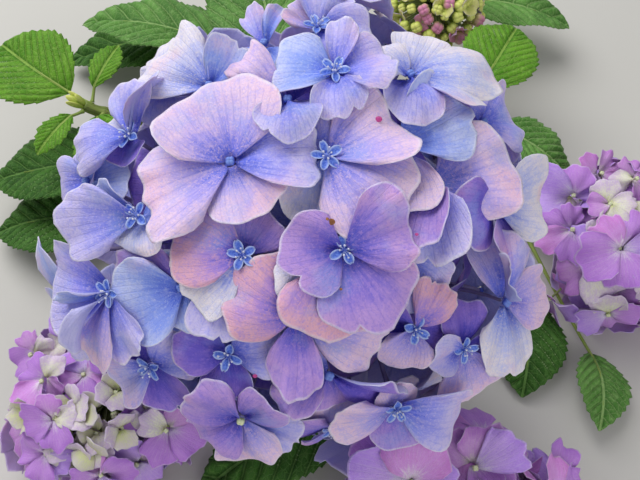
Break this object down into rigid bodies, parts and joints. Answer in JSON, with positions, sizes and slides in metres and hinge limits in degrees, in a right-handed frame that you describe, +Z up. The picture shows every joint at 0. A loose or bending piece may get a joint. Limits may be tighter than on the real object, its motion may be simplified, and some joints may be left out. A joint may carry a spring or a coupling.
{
  "type": "cut flowering hydrangea branch",
  "caption": "Cut flowering branch laid down: a woody cane that turns up into a large round bloom, with side shoots that carry smaller blooms and toothed leaves.",
  "frame": {"origin": "centre of the bounding box in plan, at the level of the floor that the branch lies on", "axes": "+Z up; +Y along the cane, from the bloom towards the cut end; +X to the right as the large bloom faces the viewer"},
  "size_m": [0.381, 0.4054, 0.2017],
  "materials": {
    "sepals_large": "matt, blue to lavender petals with pink and peach flushes and pale rims",
    "sepals_young": "matt, mauve pink petals with cream hearts",
    "buds": "matt, yellow green with pink tips",
    "bark": "matt, ridged, light brown with green",
    "green_stem": "satin, young green stem with small flecks",
    "leaf": "satin, toothed, with sunken veins"
  },
  "bodies": {
    "root": {"bloom_large": "sepals_large", "bloom_front_left": "sepals_young", "bloom_front_right": "sepals_young", "bloom_right": "sepals_young", "bloom_in_bud": "buds", "cane": "bark", "shoot_front_left": "green_stem", "shoot_front_right": "green_stem", "shoot_right": "green_stem", "shoot_bud": "green_stem", "shoot_left_tip": "green_stem", "shoot_right_tip": "green_stem", "leaf_left_tip_large": "leaf", "leaf_left_tip_long": "leaf", "leaf_left_tip_small_up": "leaf", "leaf_left_tip_small_down": "leaf", "leaf_left_dark": "leaf", "leaf_left_low": "leaf", "leaf_back_left": "leaf", "leaf_back_left_low": "leaf", "leaf_back_upright": "leaf", "leaf_back_right": "leaf", "leaf_right_tip_round": "leaf", "leaf_right_tip_side": "leaf", "leaf_right_tip_small": "leaf", "leaf_right_low": "leaf", "leaf_right_low_tip": "leaf", "leaf_front_low": "leaf"}
  },
  "joints": []
}
